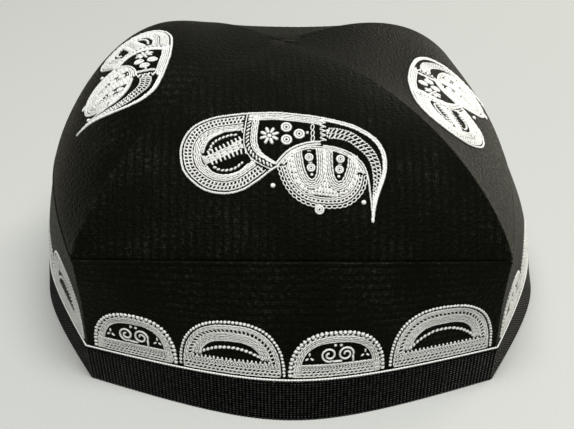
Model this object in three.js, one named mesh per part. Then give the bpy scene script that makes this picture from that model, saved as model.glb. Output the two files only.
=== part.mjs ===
// A four-sided quilted skullcap of the kind that folds flat along its corner creases.
// Four crown panels meet along four ridges, a side band stands below them, and a ribbed
// tape binds the lower edge, with a thin white piping along the top edge of the tape.
//
// Millimetres, +Z up. The cap stands on its rim at z = 0, opened out, with its front
// towards -Y. The origin is at the middle of the cap's box, on the surface it stands on.
//
// Every face of the cap follows one soft skin, worked out from two kinds of profile:
// the ridge profile runs up a corner crease, and each side has a middle profile of its
// own, half way between two creases. A side swells outward from crease to crease.
import * as THREE from "three";

// Plan and heights
const RIM_CORNER = 68.6; // from the middle to a corner of the rim, along X and along Y
const CREASE_CORNER = 71.4; // the same at the crease between side band and crown
const CREASE_HEIGHT = 48.5; // height of that crease at the corners
const CROWN_HEIGHT = 97; // height of the point where the four ridges meet
const CROWN_OFFSET_X = -3.6; // that point lies a little to the left of the middle

// Cloth and trim
const CLOTH = 2.0; // quilted cotton, two layers with packing between
const TAPE = 0.7; // ribbed edge tape
const TAPE_HEIGHT = 13.2; // height of the tape outside
const TAPE_TURN_IN = 9.0; // height of the tape inside, where it is turned over the edge
const PIPING = 1.1; // diameter of the white cord along the top of the tape
const GAP = 0.3; // between pieces that are sewn together

// Ridge profiles above the crease: rounded quarter curves with two exponents. A higher
// flatness is flatter towards the top, and a higher shoulder is fuller above the crease.
const CORNERS = [
  { name: "front_right", flatness: 2.5, shoulder: 1.36 },
  { name: "back_right", flatness: 2.6, shoulder: 1.34 },
  { name: "back_left", flatness: 2.6, shoulder: 1.34 },
  { name: "front_left", flatness: 2.5, shoulder: 1.36 },
];

// A side's swelling leans from the first angle at the crease to the second at the top
const CREASE_LEAN = THREE.MathUtils.degToRad(28);
const TOP_LEAN = THREE.MathUtils.degToRad(85);
const LEAN_POWER = 0.8;

// How far each side stands out between its corners. rimBulge is a share of RIM_CORNER.
// The swells are shares of CREASE_CORNER: at the crease, 0.6 and 0.3 of the way out.
const SIDES = [
  { name: "front", rimBulge: 0.343, creaseSwell: 0.12, shoulderSwell: 0.075, topSwell: 0.035 },
  { name: "right", rimBulge: 0.345, creaseSwell: 0.11, shoulderSwell: -0.03, topSwell: -0.015 },
  { name: "back", rimBulge: 0.338, creaseSwell: 0.05, shoulderSwell: -0.01, topSwell: -0.03 },
  { name: "left", rimBulge: 0.37, creaseSwell: 0.235, shoulderSwell: 0.2, topSwell: 0.03 },
];

// Sections of the side band, from the rim up to the crease. height is a share of
// CREASE_HEIGHT, corner a share of the way from RIM_CORNER to CREASE_CORNER, bulge a
// share of the way from the rim's bulge to the crease's. middle is how round the
// side's curve is at its middle: small is nearly a straight V, large a plain arc.
const BAND_SECTIONS = [
  { name: "rim", height: 0, corner: 0, bulge: 0, middle: 0.45 },
  { name: "tape_top", height: TAPE_HEIGHT / CREASE_HEIGHT, corner: 0.3, bulge: 0.21, middle: 0.47 },
  { name: "waist", height: 0.64, corner: 0.5, bulge: 0.42, middle: 0.8 },
  { name: "crease", height: 1, corner: 1, bulge: 1, middle: 2.5 },
];

// How finely the skin is divided
const COLUMNS = 16; // across one side
const CROWN_ROWS = 12; // from the crease to the top
const BAND_ROWS = 6; // from the rim to the crease
const PIPING_FACES = 8;

const CREASE_MIDDLE = BAND_SECTIONS[3].middle;
const QUARTER_TURN = Math.PI / 2;
const STEP = 1e-3; // for slopes

// Share of a side's swelling at t, from -1 at its left corner to 1 at its right
function swellShare(t, middle) {
  const reach = Math.sqrt(1 + middle * middle) - middle;
  return 1 - (Math.sqrt(t * t + middle * middle) - middle) / reach;
}

// Slope of that curve at a corner, for the mitre of two sides
function cornerSlope(corner, bulge, middle) {
  const reach = Math.sqrt(1 + middle * middle) - middle;
  return bulge / corner / Math.sqrt(1 + middle * middle) / reach;
}

// How far a corner moves along X, and along Y, when both its sides move in by 1
function mitre(slope) {
  return Math.sqrt(1 + slope * slope) / (1 + slope);
}

// The values of rows at a place between them, on a smooth curve through them
function smoothRows(places, rows) {
  const keys = Object.keys(rows[0]);
  const curve = new THREE.CubicInterpolant(
    places,
    rows.flatMap((row) => keys.map((key) => row[key])),
    keys.length,
  );
  return (place) => {
    const values = curve.evaluate(place);
    return Object.fromEntries(keys.map((key, i) => [key, values[i]]));
  };
}

// A side's swelling at a share of the way from the top out to the crease
function sideSwell(side) {
  const curve = smoothRows(
    [0, 0.3, 0.6, 1],
    [0, side.topSwell, side.shoulderSwell, side.creaseSwell].map((share) => ({
      swell: share * CREASE_CORNER,
    })),
  );
  return (share) => {
    const { swell } = curve(share);
    const lean = CREASE_LEAN + (TOP_LEAN - CREASE_LEAN) * (1 - share) ** LEAN_POWER;
    return { out: swell * Math.cos(lean), up: swell * Math.sin(lean) };
  };
}

// Profiles of the crown as { reach, height }: up a corner's ridge, and up the middle of a
// side, between its two ridges. u runs from 0 at the top to 1 at the crease.
function ridgeProfile(corner, u) {
  const angle = u * QUARTER_TURN;
  const share = Math.sin(angle) ** (2 / corner.flatness);
  const rise = Math.max(0, Math.cos(angle)) ** (2 / corner.shoulder);
  return {
    reach: CREASE_CORNER * share,
    height: CREASE_HEIGHT + (CROWN_HEIGHT - CREASE_HEIGHT) * rise,
  };
}

function between(left, right, w) {
  return {
    reach: THREE.MathUtils.lerp(left.reach, right.reach, w),
    height: THREE.MathUtils.lerp(left.height, right.height, w),
  };
}

function middleProfile(side, u) {
  const chord = between(ridgeProfile(side.left, u), ridgeProfile(side.right, u), 0.5);
  const swell = side.swell(chord.reach / CREASE_CORNER);
  return { reach: chord.reach + swell.out, height: chord.height + swell.up };
}

// The same profile moved in by a depth, square to its own line. stretch widens its
// reach, because a ridge runs on a diagonal.
function insetProfile(profile, u, depth, stretch) {
  const here = profile(u);
  const ahead = profile(Math.min(1, u + STEP));
  const behind = profile(Math.max(0, u - STEP));
  const along = new THREE.Vector2(
    (ahead.reach - behind.reach) * stretch,
    ahead.height - behind.height,
  ).normalize();
  return {
    reach: u === 0 ? 0 : here.reach + (along.y * depth) / stretch,
    height: here.height - along.x * depth,
  };
}

// A point of a crown panel. It is worked out in the side's own frame, where -Y is outward,
// and two panels stand apart by GAP along their ridge.
function crownPoint(side, quarter, u, t, depth) {
  const cornerMitre = mitre(cornerSlope(CREASE_CORNER, side.swell(1).out, CREASE_MIDDLE));
  const [left, right] = [side.left, side.right].map((corner) => {
    const share = ridgeProfile(corner, u).reach / CREASE_CORNER;
    const ridgeDepth = depth * (1 + (cornerMitre * Math.SQRT2 - 1) * share);
    return insetProfile((v) => ridgeProfile(corner, v), u, ridgeDepth, Math.SQRT2);
  });
  const middle = insetProfile((v) => middleProfile(side, v), u, depth, 1);
  const halfway = between(left, right, 0.5);
  const w = (1 + t) / 2;
  const chord = between(left, right, w);
  const swell = swellShare(t, CREASE_MIDDLE);
  const point = new THREE.Vector3(
    right.reach * w - left.reach * (1 - w),
    -(chord.reach + (middle.reach - halfway.reach) * swell) - GAP / Math.SQRT2,
    chord.height + (middle.height - halfway.height) * swell + GAP,
  );
  turned(point, quarter);
  point.x += CROWN_OFFSET_X * (1 - chord.reach / CREASE_CORNER) ** 2;
  return point;
}

// A point of the side band's skin; v runs from 0 at the rim to 1 at the crease
function bandPoint(side, v, t, depth) {
  const row = side.band(v);
  const slope = cornerSlope(row.corner, row.bulge, row.middle);
  const corner = row.corner - depth * mitre(slope);
  const bulge = row.corner + row.bulge - depth - corner;
  const swell = swellShare(t, row.middle);
  return new THREE.Vector3(
    corner * t,
    -(corner + bulge * swell),
    row.height + row.lift * swell,
  );
}

// Each side's own corners and curves
SIDES.forEach((side, i) => {
  side.right = CORNERS[i];
  side.left = CORNERS[(i + CORNERS.length - 1) % CORNERS.length];
  side.swell = sideSwell(side);
  const crease = side.swell(1);
  const rimBulge = side.rimBulge * RIM_CORNER;
  side.band = smoothRows(
    BAND_SECTIONS.map((section) => section.height),
    BAND_SECTIONS.map((section) => ({
      corner: RIM_CORNER + (CREASE_CORNER - RIM_CORNER) * section.corner,
      bulge: rimBulge + (crease.out - rimBulge) * section.bulge,
      height: CREASE_HEIGHT * section.height,
      lift: crease.up * section.bulge * section.height,
      middle: section.middle,
    })),
  );
});

// Turns a point from a side's own frame to the cap's
function turned(point, quarter) {
  return point.applyAxisAngle(new THREE.Vector3(0, 0, 1), quarter * QUARTER_TURN);
}

function meshFrom(name, points, faces, colour, roughness) {
  const geometry = new THREE.BufferGeometry();
  geometry.setAttribute(
    "position",
    new THREE.Float32BufferAttribute(points.flatMap((p) => p.toArray()), 3),
  );
  geometry.setIndex(faces.flat());
  geometry.computeVertexNormals();
  const material = new THREE.MeshStandardMaterial({ color: colour, roughness, metalness: 0 });
  const mesh = new THREE.Mesh(geometry, material);
  mesh.name = name;
  return mesh;
}

// A closed ring round the cap: section(side, t) gives the corners of its section, in
// order, outside going up and inside coming down
function ringMesh(name, section, colour, roughness) {
  const points = [];
  const faces = [];
  SIDES.forEach((side, quarter) => {
    for (let i = 0; i < COLUMNS; i++) {
      const corners = section(side, -1 + (2 * i) / COLUMNS);
      points.push(...corners.map((p) => turned(p, quarter)));
    }
  });
  const stations = SIDES.length * COLUMNS;
  const around = points.length / stations;
  for (let i = 0; i < stations; i++) {
    for (let j = 0; j < around; j++) {
      const a = i * around + j;
      const b = ((i + 1) % stations) * around + j;
      const up = (j + 1) % around;
      faces.push([a, b, i * around + up]);
      faces.push([b, ((i + 1) % stations) * around + up, i * around + up]);
    }
  }
  return meshFrom(name, points, faces, colour, roughness);
}

// One crown panel: an outer and an inner skin that share a point at the top, joined
// along both ridges and along the crease
function crownPanel(side, quarter, colour) {
  const points = [];
  const rowSize = COLUMNS + 1;
  const skinSize = 1 + CROWN_ROWS * rowSize;
  for (const depth of [0, CLOTH]) {
    for (let row = 0; row <= CROWN_ROWS; row++) {
      const u = row / CROWN_ROWS;
      for (let i = 0; i <= (row === 0 ? 0 : COLUMNS); i++) {
        points.push(crownPoint(side, quarter, u, -1 + (2 * i) / COLUMNS, depth));
      }
    }
  }
  const index = (skin, row, i) => skin * skinSize + (row === 0 ? 0 : 1 + (row - 1) * rowSize + i);
  const faces = [];
  const face = (a, b, c, skin) => faces.push(skin ? [a, c, b] : [a, b, c]);
  for (const skin of [0, 1]) {
    for (let i = 0; i < COLUMNS; i++) {
      face(index(skin, 0, 0), index(skin, 1, i), index(skin, 1, i + 1), skin);
      for (let row = 1; row < CROWN_ROWS; row++) {
        const [a, b] = [index(skin, row, i), index(skin, row, i + 1)];
        const [c, d] = [index(skin, row + 1, i), index(skin, row + 1, i + 1)];
        face(a, c, d, skin);
        face(a, d, b, skin);
      }
    }
  }
  for (let row = 0; row < CROWN_ROWS; row++) {
    for (const [i, flip] of [[0, 1], [COLUMNS, 0]]) {
      const [a, b] = [index(0, row, i), index(0, row + 1, i)];
      const [c, d] = [index(1, row, i), index(1, row + 1, i)];
      face(a, b, d, flip);
      face(a, d, c, flip);
    }
  }
  for (let i = 0; i < COLUMNS; i++) {
    const [a, b] = [index(0, CROWN_ROWS, i), index(0, CROWN_ROWS, i + 1)];
    const [c, d] = [index(1, CROWN_ROWS, i), index(1, CROWN_ROWS, i + 1)];
    face(a, c, d, 0);
    face(a, d, b, 0);
  }
  return meshFrom(`crown_${side.name}`, points, faces, colour, 0.85);
}

// The side band: one quilted strip that starts inside the tape
function sideBand() {
  const foot = (TAPE + GAP) / CREASE_HEIGHT;
  const places = Array.from(
    { length: BAND_ROWS + 1 },
    (_, row) => foot + ((1 - foot) * row) / BAND_ROWS,
  );
  // the skin lies under the tape at the rim, and comes flush with the crown at the crease
  const skinDepth = (v) => (TAPE + GAP) * (1 - v);
  const section = (side, t) => [
    ...places.map((v) => bandPoint(side, v, t, skinDepth(v))),
    ...places.toReversed().map((v) => bandPoint(side, v, t, skinDepth(v) + CLOTH)),
  ];
  return ringMesh("side_band", section, 0x14150f, 0.85);
}

// The tape turned over the lower edge of the band, as a U in section
function edgeTape() {
  const inside = TAPE + GAP + CLOTH + GAP; // depth of the inner leg
  const top = TAPE_HEIGHT / CREASE_HEIGHT;
  const turnIn = TAPE_TURN_IN / CREASE_HEIGHT;
  const floor = TAPE / CREASE_HEIGHT;
  // the band's skin comes outward as it rises, and the legs of the tape follow it
  const lean = (v, depth) => depth - (TAPE + GAP) * v;
  const section = (side, t) => [
    bandPoint(side, 0, t, 0),
    bandPoint(side, top, t, lean(top, 0)),
    bandPoint(side, top, t, lean(top, TAPE)),
    bandPoint(side, floor, t, TAPE),
    bandPoint(side, floor, t, inside),
    bandPoint(side, turnIn, t, lean(turnIn, inside)),
    bandPoint(side, turnIn, t, lean(turnIn, inside + TAPE)),
    bandPoint(side, 0, t, inside + TAPE),
  ];
  return ringMesh("edge_tape", section, 0x191b17, 0.7);
}

// The piping: a round cord that sits on the top edge of the tape, against the band
function edgePiping() {
  const radius = PIPING / 2;
  const level = (TAPE_HEIGHT + GAP + radius) / CREASE_HEIGHT;
  const depth = (TAPE + GAP) * (1 - level) - GAP - radius; // of the cord's centre
  const section = (side, t) =>
    Array.from({ length: PIPING_FACES }, (_, i) => {
      const angle = ((i + 0.5) / PIPING_FACES) * 2 * Math.PI;
      const v = level + (radius * Math.sin(angle)) / CREASE_HEIGHT;
      return bandPoint(side, v, t, depth - radius * Math.cos(angle));
    });
  return ringMesh("edge_piping", section, 0xe6e4dc, 0.6);
}

const cap = new THREE.Group();
const panelColours = [0x17180f, 0x1b1c14, 0x1b1c14, 0x17180f];
SIDES.forEach((side, quarter) => cap.add(crownPanel(side, quarter, panelColours[quarter])));
cap.add(sideBand(), edgeTape(), edgePiping());

// The left side bulges more than the right, so the cap is moved until its box is centred
const [front, right, back, left] = SIDES.map((side) => side.rimBulge * RIM_CORNER);
cap.position.set((left - right) / 2, (front - back) / 2, 0);

const part = new THREE.Group();
part.add(cap);
export default part;
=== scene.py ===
"""The looks of a black four-sided quilted skullcap with white thread work.

Lengths in this script are millimetres in the row's frame, and become metres where a mesh
is made. A side of the cap has its own flat coordinates: p runs along it from its middle,
to the right as seen from outside, and q runs up it.
"""

import math

import bpy
import numpy as np
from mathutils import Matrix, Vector


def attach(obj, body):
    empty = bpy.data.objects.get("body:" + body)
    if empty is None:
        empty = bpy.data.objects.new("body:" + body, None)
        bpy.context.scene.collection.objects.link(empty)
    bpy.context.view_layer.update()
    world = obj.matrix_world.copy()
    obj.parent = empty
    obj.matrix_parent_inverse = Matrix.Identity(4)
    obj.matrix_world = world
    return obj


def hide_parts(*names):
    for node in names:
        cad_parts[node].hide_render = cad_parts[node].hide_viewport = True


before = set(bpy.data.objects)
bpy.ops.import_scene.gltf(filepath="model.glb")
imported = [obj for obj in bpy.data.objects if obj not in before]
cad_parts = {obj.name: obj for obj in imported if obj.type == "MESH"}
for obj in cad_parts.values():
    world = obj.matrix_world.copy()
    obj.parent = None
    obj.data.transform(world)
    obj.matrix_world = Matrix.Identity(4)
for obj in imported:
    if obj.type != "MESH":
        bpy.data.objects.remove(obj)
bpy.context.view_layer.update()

MM = 0.001
RIM_LENGTH = 584  # round the rim, for counting ribs and twists

# The cap's shape, as in the CAD model
RIM_CORNER = 68.6
CREASE_CORNER = 71.4
CREASE_HEIGHT = 48.5
CROWN_HEIGHT = 97.0
CROWN_OFFSET_X = -3.6
CLOTH = 2.0
TAPE = 0.7
TAPE_HEIGHT = 13.2
TAPE_TURN_IN = 9.0
GAP = 0.3
CREASE_LEAN = math.radians(28)
TOP_LEAN = math.radians(85)
LEAN_POWER = 0.8
FRONT_CORNER = {"flatness": 2.5, "shoulder": 1.36}
BACK_CORNER = {"flatness": 2.6, "shoulder": 1.34}
SIDES = [
    {"name": "front", "left": FRONT_CORNER, "right": FRONT_CORNER,
     "rim": 0.343, "crease": 0.12, "shoulder": 0.075, "top": 0.035},
    {"name": "right", "left": FRONT_CORNER, "right": BACK_CORNER,
     "rim": 0.345, "crease": 0.11, "shoulder": -0.03, "top": -0.015},
    {"name": "back", "left": BACK_CORNER, "right": BACK_CORNER,
     "rim": 0.338, "crease": 0.05, "shoulder": -0.01, "top": -0.03},
    {"name": "left", "left": BACK_CORNER, "right": FRONT_CORNER,
     "rim": 0.37, "crease": 0.235, "shoulder": 0.2, "top": 0.03},
]
CREASE_MIDDLE = 2.5
BAND_SECTIONS = [
    {"height": 0, "corner": 0, "bulge": 0, "middle": 0.45},
    {"height": TAPE_HEIGHT / CREASE_HEIGHT, "corner": 0.3, "bulge": 0.21, "middle": 0.47},
    {"height": 0.64, "corner": 0.5, "bulge": 0.42, "middle": 0.8},
    {"height": 1, "corner": 1, "bulge": 1, "middle": CREASE_MIDDLE},
]
SHIFT = np.array([
    (SIDES[3]["rim"] - SIDES[1]["rim"]) * RIM_CORNER / 2,
    (SIDES[0]["rim"] - SIDES[2]["rim"]) * RIM_CORNER / 2,
    0,
])
STEP = 1e-3

# The camera, as it stood for the photograph
CAMERA_TARGET = np.array([-1.2, 0.17, 27.1])
CAMERA_DISTANCE = 486.3
CAMERA_ELEVATION = math.radians(28.2)
CAMERA_TURN = math.radians(0.45)
LENS = 80.2


# Shape of the cap

def smooth(places, values):
    """The smooth curve through values at places."""
    places = np.asarray(places, float)
    values = np.asarray(values, float)
    secant = np.diff(values) / np.diff(places)
    slope = np.concatenate([[secant[0]], (secant[1:] + secant[:-1]) / 2, [secant[-1]]])

    def at(place):
        place = np.asarray(place, float)
        i = np.clip(np.searchsorted(places, place, side="right") - 1, 0, len(places) - 2)
        gap = places[i + 1] - places[i]
        s = (place - places[i]) / gap
        start = (1 + 2 * s) * (1 - s) ** 2 * values[i] + s * (1 - s) ** 2 * gap * slope[i]
        end = s * s * (3 - 2 * s) * values[i + 1] + s * s * (s - 1) * gap * slope[i + 1]
        return start + end

    return at


def swell_share(t, middle):
    """Share of a side's swelling at t, from -1 at its left corner to 1 at its right."""
    reach = np.sqrt(1 + middle * middle) - middle
    return 1 - (np.sqrt(t * t + middle * middle) - middle) / reach


def mitre(corner, bulge, middle):
    """How far a corner moves along X, and along Y, when both its sides move in by 1."""
    reach = np.sqrt(1 + middle * middle) - middle
    slope = bulge / corner / np.sqrt(1 + middle * middle) / reach
    return np.sqrt(1 + slope * slope) / (1 + slope)


def ridge_profile(corner, u):
    """Reach and height up a ridge; u runs from 0 at the top to 1 at the crease."""
    angle = u * math.pi / 2
    reach = CREASE_CORNER * np.sin(angle) ** (2 / corner["flatness"])
    rise = np.clip(np.cos(angle), 0, 1) ** (2 / corner["shoulder"])
    return np.array([reach, CREASE_HEIGHT + (CROWN_HEIGHT - CREASE_HEIGHT) * rise])


def swell(side, share):
    """How far a side's middle swells out and up, at a share of the way out to the crease."""
    widths = [0, side["top"], side["shoulder"], side["crease"]]
    width = CREASE_CORNER * smooth([0, 0.3, 0.6, 1], widths)(share)
    lean = CREASE_LEAN + (TOP_LEAN - CREASE_LEAN) * np.clip(1 - share, 0, 1) ** LEAN_POWER
    return np.array([width * np.cos(lean), width * np.sin(lean)])


def middle_profile(side, u):
    """Reach and height up the middle of a crown panel."""
    chord = (ridge_profile(side["left"], u) + ridge_profile(side["right"], u)) / 2
    return chord + swell(side, chord[0] / CREASE_CORNER)


def inset(profile, u, depth, stretch):
    """A profile moved in by a depth, square to its own line."""
    here = profile(u)
    ahead = profile(np.minimum(1, u + STEP))
    behind = profile(np.maximum(0, u - STEP))
    along = (ahead - behind) * np.array([[stretch], [1]])
    along = along / np.hypot(*along)
    reach = np.where(u == 0, 0, here[0] + along[1] * depth / stretch)
    return np.array([reach, here[1] - along[0] * depth])


def turned(x, y, z, quarter):
    """Points of the front side, turned to another side of the cap."""
    for _ in range(quarter):
        x, y = -y, x
    return np.stack([x, y, z], -1)


def crown_point(quarter, u, t, depth=0.0):
    """Points of a crown panel, for flat arrays u and t."""
    side = SIDES[quarter]
    swollen = swell(side, 1.0)[0]
    corner = mitre(CREASE_CORNER, swollen, CREASE_MIDDLE) * math.sqrt(2) - 1
    ends = []
    for key in ("left", "right"):
        share = ridge_profile(side[key], u)[0] / CREASE_CORNER
        ridge_depth = depth * (1 + corner * share)
        ends.append(inset(lambda v: ridge_profile(side[key], v), u, ridge_depth, math.sqrt(2)))
    left, right = ends
    middle = inset(lambda v: middle_profile(side, v), u, depth, 1)
    w = (1 + t) / 2
    chord = left * (1 - w) + right * w
    rise = (middle - (left + right) / 2) * swell_share(t, CREASE_MIDDLE)
    out, up = chord + rise
    point = turned(right[0] * w - left[0] * (1 - w), -out, up, quarter)
    point[..., 0] += CROWN_OFFSET_X * (1 - chord[0] / CREASE_CORNER) ** 2
    return point + SHIFT


def band_point(quarter, v, t, depth=0.0):
    """Points of the side band; v runs from 0 at the rim to 1 at the crease."""
    side = SIDES[quarter]
    rim = side["rim"] * RIM_CORNER
    out, up = swell(side, 1.0)
    flare = CREASE_CORNER - RIM_CORNER
    heights = [row["height"] for row in BAND_SECTIONS]

    def across(values):
        return smooth(heights, values)(v)

    corner = across([RIM_CORNER + flare * row["corner"] for row in BAND_SECTIONS])
    bulge = across([rim + (out - rim) * row["bulge"] for row in BAND_SECTIONS])
    lift = across([up * row["bulge"] * row["height"] for row in BAND_SECTIONS])
    middle = across([row["middle"] for row in BAND_SECTIONS])
    moved = corner - depth * mitre(corner, bulge, middle)
    share = swell_share(t, middle)
    outward = moved + (corner + bulge - depth - moved) * share
    return turned(moved * t, -outward, CREASE_HEIGHT * v + lift * share, quarter) + SHIFT


def lengths(points):
    """Length along a line of points, from its start."""
    steps = np.linalg.norm(np.diff(points, axis=0), axis=1)
    return np.concatenate([[0], np.cumsum(steps)])


# Meshes

def add_object(name, data):
    obj = bpy.data.objects.new(name, data)
    bpy.context.scene.collection.objects.link(obj)
    return obj


def make_mesh(name, points, faces, **coordinates):
    """An object from points in millimetres and a list of arrays of quads and triangles.
    Each of the coordinates is kept on the points, for the materials."""
    mesh = bpy.data.meshes.new(name)
    corners = np.concatenate([f.ravel() for f in faces])
    sizes = np.concatenate([np.full(len(f), f.shape[1]) for f in faces])
    starts = np.concatenate([[0], np.cumsum(sizes)[:-1]])
    mesh.vertices.add(len(points))
    mesh.vertices.foreach_set("co", (np.asarray(points) * MM).astype(np.float32).ravel())
    mesh.loops.add(len(corners))
    mesh.loops.foreach_set("vertex_index", corners.astype(np.int32))
    mesh.polygons.add(len(sizes))
    mesh.polygons.foreach_set("loop_start", starts.astype(np.int32))
    mesh.polygons.foreach_set("loop_total", sizes.astype(np.int32))
    mesh.update(calc_edges=True)
    mesh.validate()
    mesh.shade_smooth()
    for key, values in coordinates.items():
        layer = mesh.attributes.new(key, "FLOAT_VECTOR", "POINT")
        layer.data.foreach_set("vector", np.asarray(values, np.float32).ravel())
    piece = add_object(name, mesh)
    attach(piece, "root")
    return piece


def grid_faces(rows, columns, closed_rows=False, closed_columns=False):
    """Quads of a grid whose points run along its rows."""
    i, j = np.meshgrid(
        np.arange(rows if closed_rows else rows - 1),
        np.arange(columns if closed_columns else columns - 1),
        indexing="ij",
    )
    i, j = i.ravel(), j.ravel()
    here, above = i * columns, (i + 1) % rows * columns
    along = (j + 1) % columns
    return np.stack([here + j, here + along, above + along, above + j], 1)


# Black cloth

QUILT_PITCH = 2.9  # between two lines of quilting
BAND_QUILT_PITCH = 2.1
QUILT_DEPTH = 0.16
QUILT_FADE = (60, 30, 0.25)  # height where it would end, length it fades over, least share
RIDGE_CALM = 12  # it runs out over the last twelfth of the way to a ridge
CREASE_ROLL = 0.6  # how far the foot of a panel turns in, and over what height
CREASE_ROLL_HEIGHT = 0.9
CROWN_COLUMNS = 220
CROWN_ROWS = 90
ROW_SPREAD = 0.8  # brings the rows closer together towards the crease
TOP_START = 1e-5
SIDE_COLUMNS = 230  # of the band, on each side
CREST_RISE = 0.28  # the roll along the top edge of the band
CREST_AT = 0.985
CREST_WIDTH = 0.008
HEM = 0.7  # how far the band's last row turns in under the crown


def quilting(p, strength):
    """Depth of the lines of quilting at p."""
    wave = 0.5 - 0.5 * np.cos(2 * math.pi * p / QUILT_PITCH)
    return QUILT_DEPTH * strength * (1 - np.sqrt(wave))


def crown_panel(quarter):
    """One quilted panel of the crown: an outer and an inner skin, closed along its edges."""
    side = SIDES[quarter]
    us = np.linspace(0, 1, CROWN_ROWS) ** ROW_SPREAD
    us[0] = TOP_START
    ts = np.linspace(-1, 1, CROWN_COLUMNS)
    u, t = (a.ravel() for a in np.meshgrid(us, ts, indexing="ij"))
    reach = (ridge_profile(side["left"], u)[0] + ridge_profile(side["right"], u)[0]) / 2
    p = t * reach
    up = lengths(crown_point(quarter, us, 0 * us))
    q = np.repeat(up[-1] - up, len(ts))
    end, run, least = QUILT_FADE
    calm = np.clip((1 - np.abs(t)) * RIDGE_CALM, 0, 1) * np.clip((end - q) / run, least, 1)
    roll = CREASE_ROLL * np.clip(1 - q / CREASE_ROLL_HEIGHT, 0, 1) ** 2
    outer = crown_point(quarter, u, t, quilting(p, calm) + roll)
    inner = crown_point(quarter, u, t, CLOTH)
    count = len(outer)
    quads = grid_faces(CROWN_ROWS, CROWN_COLUMNS)
    grid = np.arange(count).reshape(CROWN_ROWS, CROWN_COLUMNS)
    edge = np.concatenate([grid[0, :], grid[1:, -1], grid[-1, -2::-1], grid[-2:0:-1, 0]])
    ahead = np.roll(edge, -1)
    rim = np.stack([ahead, edge, edge + count, ahead + count], 1)
    flat = np.stack([p, q, 0 * p], 1)
    piece = make_mesh(
        f"quilted_panel_{side['name']}",
        np.concatenate([outer, inner]),
        [quads[:, ::-1], quads + count, rim[:, ::-1]],
        flat_mm=np.concatenate([flat, flat]),
    )
    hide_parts(f"crown_{side['name']}")
    return piece


RING_ORDER = (2, 3, 0, 1)  # a ring round the cap starts and ends at a corner at the back


def side_places(columns):
    """Even places along a side, from -1 at its left corner up to, but without, its right one."""
    return -1 + 2 * np.arange(columns) / columns


def ring(section, columns):
    """Points of a ring round the cap, station by station, and how far round each one is.
    section(quarter, t) gives rows of points, one row for each corner of the section."""
    rows = []
    around = []
    total = 0.0
    for quarter in RING_ORDER:
        ts = side_places(columns)
        rows.append(np.stack(section(quarter, ts), 1))
        far = lengths(section(quarter, np.append(ts, 1.0))[0])
        around.append(total + far[:-1])
        total += far[-1]
    return np.concatenate(rows), np.concatenate(around), total


def ring_mesh(name, section, columns, across, grooves):
    """The mesh of a closed section that goes round the cap. Its flat coordinates are how far
    round a point is, how far across the section, and how much of a groove it is in."""
    stations, around, _ = ring(section, columns)
    count = stations.shape[1]
    flat = np.stack([
        np.repeat(around, count),
        np.tile(across, len(around)),
        np.repeat(grooves, count),
    ], 1)
    faces = grid_faces(len(stations), count, True, True)
    return make_mesh(name, stations.reshape(-1, 3), [faces[:, ::-1]], flat_mm=flat)


def side_band():
    """The quilted band: a fine outer skin and an inner one, from inside the tape to the
    crease, where its top edge stands up as a thin roll."""
    foot = (TAPE + GAP) / CREASE_HEIGHT
    vs = np.concatenate([[foot, 0.12], np.linspace(0.26, 0.955, 18), np.linspace(0.965, 1, 8)])
    inner_vs = np.linspace(1, foot, 12)

    def skin(v):
        return (TAPE + GAP) * (1 - v)

    def section(quarter, ts):
        rows = []
        for v in vs:
            crest = -CREST_RISE * math.exp(-(((v - CREST_AT) / CREST_WIDTH) ** 2))
            hem = HEM if v == 1 else 0.0
            rows.append(band_point(quarter, v + 0 * ts, ts, skin(v) + crest + hem))
        for v in inner_vs:
            rows.append(band_point(quarter, v + 0 * ts, ts, skin(v) + CLOTH))
        return rows

    heights = np.concatenate([vs, inner_vs]) * CREASE_HEIGHT
    no_grooves = np.zeros(4 * SIDE_COLUMNS)
    piece = ring_mesh("quilted_band", section, SIDE_COLUMNS, heights, no_grooves)
    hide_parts("side_band")
    return piece


RIB_PITCH = 1.25
WEFT_PITCH = 0.8
RIB_SAMPLES = 6
RIB_DEPTH = 0.2


def tape_outline():
    """The section of the tape, a U: each corner's height as a share of the crease's, its
    depth from the outside, and 1 where it is ribbed."""
    inside = TAPE + GAP + CLOTH + GAP
    top = TAPE_HEIGHT / CREASE_HEIGHT
    turn_in = TAPE_TURN_IN / CREASE_HEIGHT
    return (
        [(v, 0.0, 1) for v in np.array([0.2, 0.6]) / CREASE_HEIGHT]
        + [(v, 0.0, 1) for v in np.linspace(1.6 / CREASE_HEIGHT, top - 0.02, 6)]
        + [(top - 0.006, 0.06, 1), (top, 0.3, 0), (top, TAPE, 0)]
        + [(0.16, TAPE, 0), (TAPE / CREASE_HEIGHT, TAPE, 0), (TAPE / CREASE_HEIGHT, inside, 0)]
        + [(0.1, inside, 0), (turn_in, inside, 0), (turn_in, inside + TAPE, 0)]
        + [(0.1, inside + TAPE, 0), (0.5 / CREASE_HEIGHT, inside + TAPE, 0)]
        + [(0.0, inside + TAPE - 0.5, 0), (0.0, 0.5, 0)]
    )


def edge_tape():
    """The ribbed tape, turned over the lower edge of the band."""
    outline = tape_outline()
    ribs = round(RIM_LENGTH / RIB_PITCH / 4)
    columns = ribs * RIB_SAMPLES

    def lean(v, depth):
        return depth - (TAPE + GAP) * v

    def groove(ts):
        return 1 - np.abs(np.sin(math.pi * (ts + 1) / 2 * ribs))

    def section(quarter, ts):
        rib = RIB_DEPTH * groove(ts)
        return [
            band_point(quarter, v + 0 * ts, ts, lean(v, depth) + ribbed * rib)
            for v, depth, ribbed in outline
        ]

    across = lengths(np.array([[v * CREASE_HEIGHT, depth] for v, depth, _ in outline]))
    # How much of a groove each column is in; the tape's material darkens it as painted shade.
    grooves = np.tile(groove(side_places(columns)), 4)
    piece = ring_mesh("ribbed_edge_tape", section, columns, across, grooves)
    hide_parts("edge_tape")
    return piece


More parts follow.
